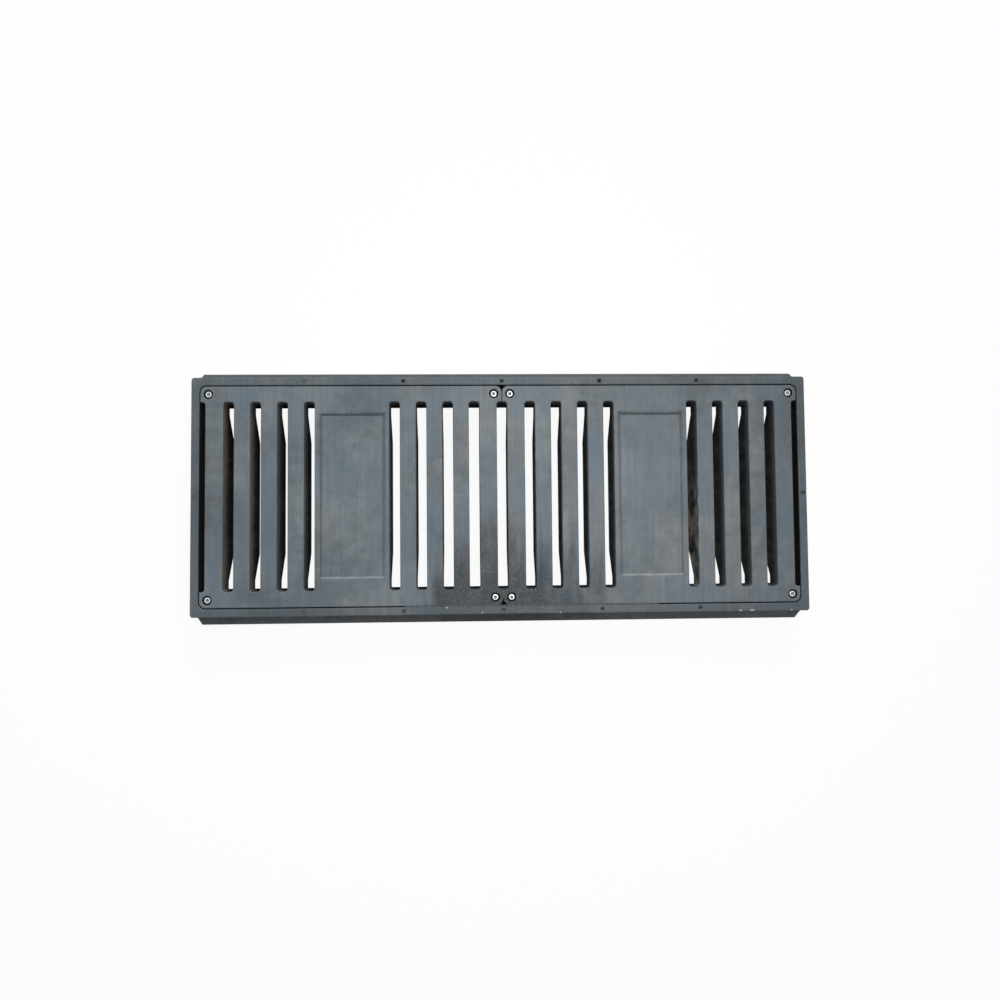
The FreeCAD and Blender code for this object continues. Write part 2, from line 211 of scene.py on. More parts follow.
FRAME_TONES = {
    "dark": srgb(82, 89, 93),
    "light": srgb(122, 127, 129),
    "cool": srgb(90, 104, 115),
    "worn": srgb(150, 153, 152),
}
GRATE_TONES = {
    "dark": srgb(94, 101, 105),
    "light": srgb(142, 147, 150),
    "cool": srgb(104, 121, 135),
    "worn": srgb(165, 168, 168),
}
SOIL_TONE = srgb(56, 58, 59)
# painted shade as a dark film on upright walls, growing with depth below the rim
FILM_AND_SHADE_TONE = srgb(42, 39, 36)
DUST_TONE = srgb(150, 134, 108)
MUD_TONE = srgb(210, 205, 197)
# painted shade: near black, laid on the rim's inner walls, in the counterbores and on deep soil
PAINTED_SHADE_TONE = srgb(14, 15, 16)
GRIT_TONE = srgb(168, 167, 160)
# painted highlight with wear, on the front edges of the panel recesses
WORN_AND_LIT_EDGE_TONE = srgb(186, 188, 188)
STAIN_TONE = srgb(112, 99, 88)
# dark tone for dirt and painted shade in corners, and for the painted shade on the recess edges
DIRT_AND_SHADE_TONE = srgb(44, 41, 37)
CHIP_TONE = srgb(214, 214, 208)
STEEL_DARK = srgb(196, 197, 196)
STEEL_LIGHT = srgb(226, 226, 224)
STEEL_DIRT_AND_SHADE = srgb(60, 54, 48)
BRASS_DARK = srgb(176, 140, 78)
BRASS_LIGHT = srgb(212, 180, 112)
PACKED_DARK = srgb(82, 86, 88)
PACKED_LIGHT = srgb(110, 113, 112)
PACKED_GRIT = srgb(150, 148, 140)
FLOOR_TONE = srgb(228, 228, 226)


class Wiring:
    """Adds nodes to one tree and joins them."""

    def __init__(self, tree):
        self.tree = tree

    def set(self, socket, value):
        """Links another node's socket to this one, or gives it a fixed value."""
        if isinstance(value, bpy.types.NodeSocket):
            self.tree.links.new(value, socket)
        else:
            socket.default_value = value

    def add(self, kind, inputs=(), **settings):
        """A new node with its settings and inputs."""
        node = self.tree.nodes.new(kind)
        for name, value in settings.items():
            setattr(node, name, value)
        for name, value in dict(inputs).items():
            self.set(node.inputs[name], value)
        return node

    def math(self, operation, *values):
        """The result of one sum on values or sockets."""
        node = self.tree.nodes.new("ShaderNodeMath")
        node.operation = operation
        for socket, value in zip(node.inputs, values):
            self.set(socket, value)
        return node.outputs[0]

    def step(self, value, low, high, to_low=0.0, to_high=1.0):
        """A smooth step of a value between two levels."""
        node = self.add("ShaderNodeMapRange", interpolation_type="SMOOTHSTEP")
        for name, item in (("Value", value), ("From Min", low), ("From Max", high)):
            self.set(node.inputs[name], item)
        node.inputs["To Min"].default_value = to_low
        node.inputs["To Max"].default_value = to_high
        return node.outputs[0]

    def noise(self, vector, scale, detail=3.0, roughness=0.55, distortion=0.0):
        """Cloudy noise from 0 to 1, with features of about 1 / scale."""
        inputs = {"Vector": vector, "Scale": scale, "Detail": detail}
        inputs.update({"Roughness": roughness, "Distortion": distortion})
        return self.add("ShaderNodeTexNoise", inputs).outputs[0]

    def stretch(self, vector, scale, turn=0.0):
        """The same vector, scaled along each axis and turned about Z."""
        inputs = {"Vector": vector, "Scale": scale, "Rotation": (0, 0, turn)}
        return self.add("ShaderNodeMapping", inputs).outputs[0]

    def mix(self, amount, first, second):
        """A colour between two others."""
        node = self.add("ShaderNodeMix", data_type="RGBA")
        self.set(node.inputs["Factor"], amount)
        self.set(node.inputs[6], first)
        self.set(node.inputs[7], second)
        return node.outputs[2]

    def cover(self, colour, tone, mask, share):
        """A colour covered with a tone where a mask shows, by a share of it."""
        return self.mix(self.math("MULTIPLY", mask, share), colour, tone)

    def length(self, vector):
        return self.add("ShaderNodeVectorMath", {0: vector}, operation="LENGTH").outputs["Value"]

    def place(self):
        """The place on the object that is shaded."""
        return self.add("ShaderNodeTexCoord").outputs["Object"]

    def part(self, vector, axis):
        """One of a vector's three numbers, by the axis's letter."""
        return self.add("ShaderNodeSeparateXYZ", {"Vector": vector}).outputs[axis]

    def group(self, tree, **inputs):
        """The outputs of a node group, given its inputs by name."""
        node = self.tree.nodes.new("ShaderNodeGroup")
        node.node_tree = tree
        for name, value in inputs.items():
            self.set(node.inputs[name.replace("_", " ").capitalize()], value)
        return node.outputs


def new_group(name, inputs, outputs):
    """An empty shader node group with number inputs and the named outputs."""
    tree = bpy.data.node_groups.new(name, "ShaderNodeTree")
    for label, value in inputs.items():
        socket = tree.interface.new_socket(label, in_out="INPUT", socket_type="NodeSocketFloat")
        socket.default_value = value
    for label in outputs:
        tree.interface.new_socket(label, in_out="OUTPUT", socket_type="NodeSocketFloat")
    wiring = Wiring(tree)
    given = wiring.add("NodeGroupInput").outputs
    result = wiring.add("NodeGroupOutput").inputs
    return tree, wiring, given, result


def make_mould_skin():
    """Cloudy tone and tint of the moulding compound, its flow streaks, fine grain and slight waves."""
    tree, w, given, result = new_group(
        "mould_skin", {"Grain size": 1.0}, ("Cloud", "Tint", "Streak", "Fleck", "Grain", "Waves")
    )
    place = w.place()
    broad = w.noise(place, 9.0, 4.0, 0.6, 0.4)
    middle = w.noise(place, 55.0, 4.0, 0.6)
    cloud = w.math("ADD", w.math("MULTIPLY", broad, 0.65), w.math("MULTIPLY", middle, 0.35))
    w.set(result["Cloud"], w.step(cloud, 0.32, 0.68))
    w.set(result["Tint"], w.step(w.noise(w.stretch(place, (1.0, 0.5, 1.0)), 14.0, 3.0, 0.5), 0.35, 0.65))
    flow = w.noise(w.stretch(place, (300.0, 9.0, 40.0)), 1.0, 4.0, 0.65)
    w.set(result["Streak"], w.step(flow, 0.35, 0.68))
    flecks = w.noise(place, 430.0, 4.0, 0.75)
    w.set(result["Fleck"], w.step(flecks, 0.40, 0.66))
    grain = w.noise(place, w.math("DIVIDE", 1500.0, given["Grain size"]), 3.0, 0.6)
    w.set(result["Grain"], grain)
    w.set(result["Waves"], w.noise(w.stretch(place, (1.0, 0.35, 1.0)), 26.0, 2.0, 0.5))
    return tree


def make_edge_wear():
    """Where the rounded edges are rubbed, in broken runs."""
    tree, w, given, result = new_group("edge_wear", {"Reach": 0.5}, ("Mask",))
    place = w.place()
    edge = w.add("ShaderNodeAttribute", attribute_name="edge").outputs["Fac"]
    runs = w.noise(place, 38.0, 5.0, 0.65)
    bits = w.noise(place, 420.0, 3.0, 0.7)
    breakup = w.math("ADD", w.math("MULTIPLY", runs, 0.6), w.math("MULTIPLY", bits, 0.4))
    level = w.math("SUBTRACT", 1.0, given["Reach"])
    rubbed = w.step(breakup, w.math("SUBTRACT", level, 0.08), w.math("ADD", level, 0.10))
    w.set(result["Mask"], w.math("MULTIPLY", rubbed, edge))
    return tree


def make_settled_dirt_and_shade():
    """Dirt together with painted shade, strongest in corners and along the foot of walls, where they close
    off the sky.
    """
    tree, w, given, result = new_group("settled_dirt_and_shade", {"Reach": 0.012}, ("Mask",))
    place = w.place()
    open_sky = w.add("ShaderNodeAmbientOcclusion", {"Distance": given["Reach"]}, samples=8)
    closed = w.math("SUBTRACT", 1.0, open_sky.outputs["AO"])
    patches = w.noise(place, 70.0, 5.0, 0.65)
    broken = w.math("MULTIPLY", w.step(closed, 0.15, 0.75), w.step(patches, 0.25, 0.65, 0.35, 1.0))
    w.set(result["Mask"], broken)
    return tree


def make_scratches():
    """Fine scratches in two directions, and short scuffs."""
    tree, w, given, result = new_group("scratches", {"Amount": 0.5}, ("Mask",))
    place = w.place()
    lines = []
    for turn, length in ((0.35, 14.0), (-0.9, 22.0)):
        streak = w.noise(w.stretch(place, (length, 900.0, length), turn), 1.0, 2.0, 0.5)
        where = w.noise(place, 11.0, 2.0, 0.5)
        thin = w.step(streak, 0.70, 0.78)
        lines.append(w.math("MULTIPLY", thin, w.step(where, 0.45, 0.65)))
    w.set(result["Mask"], w.math("MULTIPLY", w.math("MAXIMUM", *lines), given["Amount"]))
    return tree


def make_wall_shade_and_soiling():
    """Painted shade on upright walls, as a film that grows darker from the rim downwards, dust near its
    top and mud in one slot.
    """
    tree, w, given, result = new_group("wall_shade_and_soiling", {"Top": 0.066, "Depth": 0.03}, ("Mask", "Dust", "Mud"))
    place = w.place()
    facing = w.math("ABSOLUTE", w.part(w.add("ShaderNodeNewGeometry").outputs["Normal"], "Z"))
    upright = w.step(facing, 0.3, 0.7, 1.0, 0.0)
    below = w.math("DIVIDE", w.math("SUBTRACT", given["Top"], w.part(place, "Z")), given["Depth"])
    runs = w.noise(w.stretch(place, (60.0, 60.0, 12.0)), 1.0, 4.0, 0.6)
    # painted shade: darker with depth below the rim, broken into runs like a film
    film_and_shade = w.math("MULTIPLY", w.step(below, 0.03, 1.0), w.step(runs, 0.2, 0.6, 0.55, 1.0))
    w.set(result["Mask"], w.math("MULTIPLY", film_and_shade, upright))
    patches = w.noise(w.stretch(place, (30.0, 30.0, 60.0)), 1.0, 5.0, 0.7)
    dust = w.math("MULTIPLY", w.step(below, 0.3, 1.4, 1.0, 0.0), w.step(patches, 0.34, 0.60))
    along = w.part(place, "X")
    left = w.step(along, DUST_LEFT_FULL, DUST_LEFT_END, 1.0, 0.12)
    aside = w.math("ABSOLUTE", w.math("SUBTRACT", along, MUD_SLOT))
    sideways = w.math("ABSOLUTE", w.part(w.add("ShaderNodeNewGeometry").outputs["Normal"], "X"))
    sideways = w.step(sideways, 0.6, 0.8)
    w.set(result["Dust"], w.math("MULTIPLY", w.math("MULTIPLY", dust, left), sideways))
    spots = w.step(w.noise(w.stretch(place, (60.0, 38.0, 40.0)), 1.0, 4.0, 0.65), 0.40, 0.60)
    spots = w.math("MULTIPLY", spots, w.step(aside, 10 * MM, 14 * MM, 1.0, 0.0))
    spots = w.math("MULTIPLY", spots, w.step(w.part(place, "Y"), -0.03, 0.05, 1.0, 0.1))
    w.set(result["Mud"], w.math("MULTIPLY", spots, sideways))
    return tree


def make_front_soil():
    """Soil trodden in along the middle of the front, in smudges that run with the bars, and its grit."""
    tree, w, given, result = new_group("front_soil", {"Spread": 1.0}, ("Mask", "Grit"))
    place = w.place()
    inputs = {"Vector": place, "Location": SOIL_MIDDLE, "Scale": SOIL_REACH}
    centred = w.add("ShaderNodeMapping", inputs, vector_type="TEXTURE").outputs[0]
    away = w.math("DIVIDE", w.length(centred), given["Spread"])
    smudge = w.noise(w.stretch(place, (34.0, 9.0, 9.0)), 1.0, 4.0, 0.6, 0.3)
    specks = w.noise(place, 260.0, 4.0, 0.7)
    edge = w.math("ADD", away, w.math("MULTIPLY", w.math("SUBTRACT", smudge, 0.5), 1.5))
    patch = w.step(edge, 0.35, 1.0, 1.0, 0.0)
    w.set(result["Mask"], w.math("MULTIPLY", patch, w.step(specks, 0.3, 0.6, 0.7, 1.0)))
    grains = w.step(w.noise(place, 620.0, 2.0, 0.6), 0.60, 0.68)
    near = w.step(away, 0.25, 0.75, 1.0, 0.0)
    w.set(result["Grit"], w.math("MULTIPLY", grains, near))
    return tree


MOULD_SKIN = make_mould_skin()
EDGE_WEAR = make_edge_wear()
SETTLED_DIRT_AND_SHADE = make_settled_dirt_and_shade()
SCRATCHES = make_scratches()
WALL_SHADE_AND_SOILING = make_wall_shade_and_soiling()
FRONT_SOIL = make_front_soil()


def new_material(name):
    """An empty material with one shader: itself, its wiring and the shader's inputs."""
    material = bpy.data.materials.new(name)
    material.use_nodes = True
    material.node_tree.nodes.clear()
    w = Wiring(material.node_tree)
    shader = w.add("ShaderNodeBsdfPrincipled")
    output = w.add("ShaderNodeOutputMaterial")
    w.set(output.inputs["Surface"], shader.outputs[0])
    return material, w, shader.inputs


def rim_chips(w):
    """Small light chips along the front edge of the rim."""
    place = w.place()
    level = w.stretch(place, (1.0, CHIP_SLIMNESS, 0.0))
    rough = w.math("MULTIPLY", w.math("SUBTRACT", w.noise(place, 330.0, 4.0, 0.7), 0.5), CHIP_RAGGEDNESS)
    chips = 0.0
    for along, inwards, reach in CHIPS:
        middle = (along * MM, CHIP_SLIMNESS * (FRONT_EDGE + inwards * MM), 0)
        away = w.add("ShaderNodeVectorMath", {0: level, 1: middle}, operation="DISTANCE")
        away = w.math("ADD", away.outputs["Value"], rough)
        chips = w.math("MAXIMUM", chips, w.step(away, CHIP_CORE * reach * MM, reach * MM, 1.0, 0.0))
    high = w.step(w.part(place, "Z"), RIM_LEVEL - 3 * MM, RIM_LEVEL - 1.5 * MM)
    return w.math("MULTIPLY", chips, high)


def opening_shade(w):
    """Painted shade: black on the upright walls inside the rim."""
    place = w.place()
    inside = 1.0
    for axis, reach in (("X", INNER_END), ("Y", INNER_SIDE)):
        away = w.math("ABSOLUTE", w.part(place, axis))
        inside = w.math("MULTIPLY", inside, w.step(away, reach + 0.5 * MM, reach + 1.5 * MM, 1.0, 0.0))
    below = w.step(w.part(place, "Z"), RIM_LEVEL - 4 * MM, RIM_LEVEL - 1 * MM, 1.0, 0.0)
    return w.math("MULTIPLY", inside, below)


def counterbore_shade(w):
    """Painted shade: black in the counterbores round the screw heads."""
    place = w.place()
    across = w.math("SUBTRACT", w.math("ABSOLUTE", w.part(place, "X")), GRATE_MIDDLE)
    across = w.math("SUBTRACT", w.math("ABSOLUTE", across), SCREW_X)
    along = w.math("SUBTRACT", w.math("ABSOLUTE", w.part(place, "Y")), SCREW_Y)
    away = w.length(w.add("ShaderNodeCombineXYZ", {"X": across, "Y": along}).outputs[0])
    inside = w.step(away, COUNTERBORE_RADIUS, COUNTERBORE_RADIUS + 0.3 * MM, 1.0, 0.0)
    below = w.step(w.part(place, "Z"), RIM_LEVEL - 1 * MM, RIM_LEVEL - 0.3 * MM, 1.0, 0.0)
    return w.math("MULTIPLY", inside, below)


def recess_shade_and_highlight(w):
    """Painted shade, broken up like dirt, on the back and side edges of the panel recesses, and a painted
    highlight with wear on their front edges.
    """
    place = w.place()
    across = w.math("ABSOLUTE", w.math("SUBTRACT", w.math("ABSOLUTE", w.part(place, "X")), GRATE_MIDDLE))
    along = w.part(place, "Y")
    from_side = w.math("ABSOLUTE", w.math("SUBTRACT", across, RECESS_X))
    from_back = w.math("ABSOLUTE", w.math("SUBTRACT", along, RECESS_Y))
    from_front = w.math("ABSOLUTE", w.math("ADD", along, RECESS_Y))
    inside_x = w.step(across, RECESS_X, RECESS_X + RECESS_EDGE_REACH, 1.0, 0.0)
    inside_y = w.step(w.math("ABSOLUTE", along), RECESS_Y, RECESS_Y + RECESS_EDGE_REACH, 1.0, 0.0)
    runs = w.noise(place, 60.0, 4.0, 0.65)
    sides = w.math("MULTIPLY", w.step(from_side, 0.0, RECESS_EDGE_REACH, 0.45, 0.0), inside_y)
    back = w.math("MULTIPLY", w.step(from_back, 0.0, RECESS_EDGE_REACH, 0.85, 0.0), inside_x)
    dirt_and_shade = w.math("MULTIPLY", w.math("MAXIMUM", sides, back), w.step(runs, 0.25, 0.5, 0.6, 1.0))
    front = w.math("MULTIPLY", w.step(from_front, 0.0, RECESS_EDGE_REACH, 0.75, 0.0), inside_x)
    return dirt_and_shade, w.math("MULTIPLY", front, w.step(runs, 0.3, 0.6, 0.45, 1.0))


def rim_stain(w):
    """A brown stain on the front of the rim."""
    inputs = {"Vector": w.place(), "Location": STAIN_MIDDLE, "Scale": STAIN_REACH}
    away = w.length(w.add("ShaderNodeMapping", inputs, vector_type="TEXTURE").outputs[0])
    ragged = w.math("MULTIPLY", w.math("SUBTRACT", w.noise(w.place(), 120.0, 4.0, 0.65), 0.5), 1.4)
    return w.step(w.math("ADD", away, ragged), 0.3, 1.1, 1.0, 0.0)


def composite_material(name, tones, on_frame):
    """Slate-grey moulding compound, cloudy, rubbed at its edges, soiled, with painted shade in its slots,
    corners and recesses and painted highlights on the recesses' front edges.
    """
    material, w, shader = new_material(name)
    skin = w.group(MOULD_SKIN, grain_size=1.0)
    wear = w.group(EDGE_WEAR, reach=0.46)["Mask"]
    dirt_and_shade = w.group(SETTLED_DIRT_AND_SHADE, reach=0.012)["Mask"]
    wall = w.group(WALL_SHADE_AND_SOILING, top=RIM_LEVEL, depth=30 * MM)
    film_and_shade = wall["Mask"]
    trodden = w.group(FRONT_SOIL, spread=1.0)
    soil = trodden["Mask"]
    if on_frame:
        facing_up = w.part(w.add("ShaderNodeNewGeometry").outputs["Normal"], "Z")
        soil = w.math("MULTIPLY", soil, w.step(facing_up, 0.7, 0.95, 1.0, 0.25))
    scratch = w.group(SCRATCHES, amount=0.35)["Mask"]

    colour = w.mix(skin["Cloud"], tones["dark"], tones["light"])
    colour = w.cover(colour, tones["cool"], skin["Tint"], TINT_SHARE)
    colour = w.cover(colour, tones["dark"], skin["Streak"], STREAK_SHARE)
    colour = w.cover(colour, tones["worn"], skin["Fleck"], FLECK_SHARE)
    colour = w.cover(colour, tones["worn"], scratch, SCRATCH_SHARE)
    colour = w.cover(colour, tones["worn"], wear, WEAR_SHARE)
    colour = w.cover(colour, SOIL_TONE, soil, SOIL_SHARE)
    colour = w.cover(colour, GRIT_TONE, trodden["Grit"], GRIT_SHARE)
    # painted shade on the upright walls, darker with depth below the rim
    colour = w.cover(colour, FILM_AND_SHADE_TONE, film_and_shade, FILM_AND_SHADE_SHARE)
    # dirt and painted shade, darkest where corners close off the sky
    colour = w.cover(colour, DIRT_AND_SHADE_TONE, dirt_and_shade, DIRT_AND_SHADE_SHARE)
    if on_frame:
        colour = w.cover(colour, STAIN_TONE, rim_stain(w), STAIN_SHARE)
        # painted shade: the rim's inner walls are mixed fully to near black
        colour = w.mix(opening_shade(w), colour, PAINTED_SHADE_TONE)
        colour = w.cover(colour, CHIP_TONE, rim_chips(w), CHIP_SHARE)
    else:
        colour = w.cover(colour, DUST_TONE, wall["Dust"], DUST_SHARE)
        colour = w.cover(colour, MUD_TONE, wall["Mud"], MUD_SHARE)
        # painted shade: near black in the counterbores round the screw heads
        colour = w.cover(colour, PAINTED_SHADE_TONE, counterbore_shade(w), COUNTERBORE_SHADE_SHARE)
        # painted shade on the recesses' back and side edges, painted highlight with wear on their front
        # edges
        shaded_edge, worn_and_lit_edge = recess_shade_and_highlight(w)
        colour = w.mix(shaded_edge, colour, DIRT_AND_SHADE_TONE)
        colour = w.mix(worn_and_lit_edge, colour, WORN_AND_LIT_EDGE_TONE)
    w.set(shader["Base Color"], colour)

    soiled = w.math("MAXIMUM", w.math("MAXIMUM", dirt_and_shade, film_and_shade), soil)
    rough = w.step(skin["Cloud"], 0.0, 1.0, 0.50, 0.60)
    rough = w.math("SUBTRACT", rough, w.math("MULTIPLY", wear, 0.10))
    w.set(shader["Roughness"], w.math("ADD", rough, w.math("MULTIPLY", soiled, 0.28)))
    shader["Specular IOR Level"].default_value = 0.25

    fine = w.add("ShaderNodeBump", {"Height": skin["Grain"], "Strength": 0.12, "Distance": 0.3 * MM})
    waves = w.add(
        "ShaderNodeBump",
        {"Height": skin["Waves"], "Strength": 0.10, "Distance": 1.5 * MM, "Normal": fine.outputs[0]},
    )
    w.set(shader["Normal"], waves.outputs[0])
    return material


def steel_material():
    """Stainless steel, faintly mottled, with dirt packed into the sockets and round the heads, and dirt
    with painted shade in its corners.
    """
    material, w, shader = new_material("stainless_steel")
    place = w.place()
    from_axis = w.length(w.stretch(place, (1.0, 1.0, 0.0)))
    socket = w.step(from_axis, SOCKET_WIDTH / 2, SOCKET_WIDTH / 2 + 0.4 * MM, 1.0, 0.0)
    high = w.step(w.part(place, "Z"), 1 * MM, 2 * MM)
    outer = w.step(from_axis, HEAD_RADIUS - 0.9 * MM, HEAD_RADIUS - 0.4 * MM)
    packed = w.math("MULTIPLY", w.math("MAXIMUM", socket, outer), high)
    # dirt and painted shade in the screws' corners
    corners = w.group(SETTLED_DIRT_AND_SHADE, reach=0.003)["Mask"]
    dirt_and_shade = w.math("MAXIMUM", corners, packed)
    mottle = w.noise(place, 2600.0, 2.0, 0.6)
    colour = w.mix(mottle, STEEL_DARK, STEEL_LIGHT)
    w.set(shader["Base Color"], w.cover(colour, STEEL_DIRT_AND_SHADE, dirt_and_shade, 0.6))
    w.set(shader["Roughness"], w.step(mottle, 0.3, 0.7, 0.34, 0.48))
    w.set(shader["Metallic"], w.math("SUBTRACT", 1.0, w.math("MULTIPLY", dirt_and_shade, 0.8)))
    return material


def brass_material():
    """Turned brass, dulled."""
    material, w, shader = new_material("brass")
    place = w.place()
    dull = w.noise(place, 600.0, 4.0, 0.6)
    w.set(shader["Base Color"], w.mix(dull, BRASS_DARK, BRASS_LIGHT))
    w.set(shader["Roughness"], w.step(dull, 0.3, 0.7, 0.28, 0.5))
    shader["Metallic"].default_value = 1.0
    return material


def soil_material():
    """Dry grey soil with light grit in it, and painted shade that darkens it where it lies deeper."""
    material, w, shader = new_material("packed_soil")
    place = w.place()
    clods = w.noise(place, 300.0, 5.0, 0.65)
    grit = w.step(w.noise(place, 1400.0, 2.0, 0.6), 0.62, 0.70)
    colour = w.mix(w.step(clods, 0.3, 0.7), PACKED_DARK, PACKED_LIGHT)
    colour = w.cover(colour, PACKED_GRIT, grit, 0.6)
    # painted shade: the soil goes near black where it lies deeper below the rim
    deep_shade = w.step(w.part(place, "Z"), RIM_LEVEL - 2 * MM, RIM_LEVEL - 0.7 * MM, 0.92, 0.0)
    w.set(shader["Base Color"], w.mix(deep_shade, colour, PAINTED_SHADE_TONE))
    w.set(shader["Roughness"], w.step(clods, 0.2, 0.8, 0.85, 0.97))
    shader["Specular IOR Level"].default_value = 0.2
    bump = w.add("ShaderNodeBump", {"Height": clods, "Strength": 0.5, "Distance": 0.5 * MM})
    w.set(shader["Normal"], bump.outputs[0])
    return material


def floor_material():
    """Pale floor, white to the eye, that keeps a soft shadow and is dark under the object."""
    material = bpy.data.materials.new("floor")
    material.use_nodes = True
    material.node_tree.nodes.clear()
    w = Wiring(material.node_tree)
    place = w.place()
    under = 1.0
    for axis in range(2):
        reach = max(-cad_box[0][axis], cad_box[1][axis])
        away = w.math("ABSOLUTE", w.part(place, "XYZ"[axis]))
        under = w.math("MULTIPLY", under, w.step(away, reach - SHADE_EDGE, reach, 1.0, 0.0))
    rays = w.add("ShaderNodeLightPath").outputs
    mirrored = w.math("MAXIMUM", rays["Is Glossy Ray"], rays["Is Transmission Ray"])
    mirrored = w.math("MULTIPLY", mirrored, w.math("SUBTRACT", 1.0, under))
    seen = w.math("MAXIMUM", rays["Is Camera Ray"], mirrored)
    paint = w.add("ShaderNodeBsdfDiffuse", {"Color": FLOOR_TONE})
    glow = w.add("ShaderNodeEmission", {"Color": (1, 1, 1, 1), "Strength": FLOOR_GLOW})
    share = w.math("MULTIPLY", seen, GLOW_SHARE)
    both = w.add("ShaderNodeMixShader", {0: share, 1: paint.outputs[0], 2: glow.outputs[0]})
    output = w.add("ShaderNodeOutputMaterial")
    w.set(output.inputs["Surface"], both.outputs[0])
    return material


def link_piece(name, mesh, material, slot, *nodes, place=Matrix()):
    """A piece that stands for the named solids."""
    piece = bpy.data.objects.new(name, mesh)
    scene.collection.objects.link(piece)
    piece.matrix_world = place
    mesh.materials.clear()
    mesh.materials.append(material)
    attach(piece, "root")
    if nodes:
        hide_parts(*nodes)
    return piece


def in_hollow(edge, node):
    """True for an edge under the frame's ledge or in the hollow under a grate's panel."""
    if node == "frame":
        return all(
            abs(vertex.co.y) < UNDERSIDE_REACH and vertex.co.z < UNDERSIDE_TOP for vertex in edge.verts
        )
    middle = GRATE_MIDDLE if node == "grate_right" else -GRATE_MIDDLE
    return all(
        abs(vertex.co.x - middle) < HOLLOW_HALF_WIDTH and vertex.co.z < HOLLOW_TOP
        for vertex in edge.verts
    )


def rounded_mesh(node):
    """A solid's own mesh with its outward edges rounded, and an edge mark on the rounded strips."""
    bm = bmesh.new()
    bm.from_mesh(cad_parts[node].data)
    bmesh.ops.remove_doubles(bm, verts=bm.verts, dist=WELD_DISTANCE)
    bmesh.ops.dissolve_limit(
        bm, angle_limit=FLAT_ANGLE, verts=bm.verts, edges=bm.edges, delimit={"NORMAL"}
    )
    weights = bm.edges.layers.float.new("bevel_weight_edge")
    for edge in bm.edges:
        if edge.calc_face_angle_signed() > EDGE_ANGLE and not in_hollow(edge, node):
            edge[weights] = 1.0
    for face in bm.faces:
        heights = [vertex.co.z for vertex in face.verts]
        slanted = BEVEL_RISE[0] < face.normal.z < BEVEL_RISE[1]
        face.material_index = int(slanted and max(heights) - min(heights) < BEVEL_HEIGHT)
        face.smooth = True
    mesh = bpy.data.meshes.new(node + "_rounded")
    bm.to_mesh(mesh)
    bm.free()

    holder = bpy.data.objects.new(node + "_rounded", mesh)
    scene.collection.objects.link(holder)
    mesh.materials.clear()
    for name in ("plain", "edge"):
        mesh.materials.append(bpy.data.materials.new(name))
    rounding = holder.modifiers.new("rounding", "BEVEL")
    rounding.limit_method = "WEIGHT"
    rounding.width = EDGE_ROUND
    rounding.segments = ROUND_STEPS
    rounding.use_clamp_overlap = False  # clamping would thin every edge to suit the tightest one
    rounding.loop_slide = False  # sliding along flat edges would fold the corners of the slots
    rounding.material = 1
    holder.modifiers.new("even_shading", "WEIGHTED_NORMAL").weight = 50
    rounded = bpy.data.meshes.new_from_object(
        holder.evaluated_get(bpy.context.evaluated_depsgraph_get())
    )
    bpy.data.objects.remove(holder)
    mark_edges(rounded)
    return rounded


def mark_edges(mesh):
    """Marks the points that only bevelled and rounded faces meet, and makes all faces one material."""
    inside = [True] * len(mesh.vertices)
    for polygon in mesh.polygons:
        if polygon.material_index == 0:
            for index in polygon.vertices:
                inside[index] = False
    mark = mesh.attributes.new("edge", "FLOAT", "POINT")
    mark.data.foreach_set("value", [float(value) for value in inside])
    for polygon in mesh.polygons:
        polygon.material_index = 0


def islands(node):
    """Lowest and highest corner of each separate solid of a node."""
    bm = bmesh.new()
    bm.from_mesh(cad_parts[node].data)
    bmesh.ops.remove_doubles(bm, verts=bm.verts, dist=WELD_DISTANCE)
    waiting = set(bm.verts)
    boxes = []
    while waiting:
        found = [waiting.pop()]
        for vertex in found:
            for edge in vertex.link_edges:
                other = edge.other_vert(vertex)
                if other in waiting:
                    waiting.remove(other)
                    found.append(other)
        low = Vector([min(vertex.co[axis] for vertex in found) for axis in range(3)])
        high = Vector([max(vertex.co[axis] for vertex in found) for axis in range(3)])
        boxes.append((low, high))
    bm.free()
    return sorted(boxes, key=lambda box: tuple(box[0]))


def add_ring(bm, sides, radius, height):
    """A closed ring of points about Z; the radius may depend on the angle and the point's number."""
    ring = []
    for number in range(sides):
        angle = 2 * math.pi * number / sides
        reach = radius(angle, number) if callable(radius) else radius
        ring.append(bm.verts.new((reach * math.cos(angle), reach * math.sin(angle), height)))
    return ring


def join_rings(bm, lower, upper):
    """A band of faces between two rings of as many points."""
    count = len(lower)
    for number in range(count):
        after = (number + 1) % count
        bm.faces.new((lower[number], lower[after], upper[after], upper[number]))


def hexagon_reach(width):
    """Distance from a hexagon's middle to its side, by angle."""
    def reach(angle, number):
        turn = (angle + math.pi / 6) % (math.pi / 3) - math.pi / 6
        return width / 2 / math.cos(turn)

    return reach


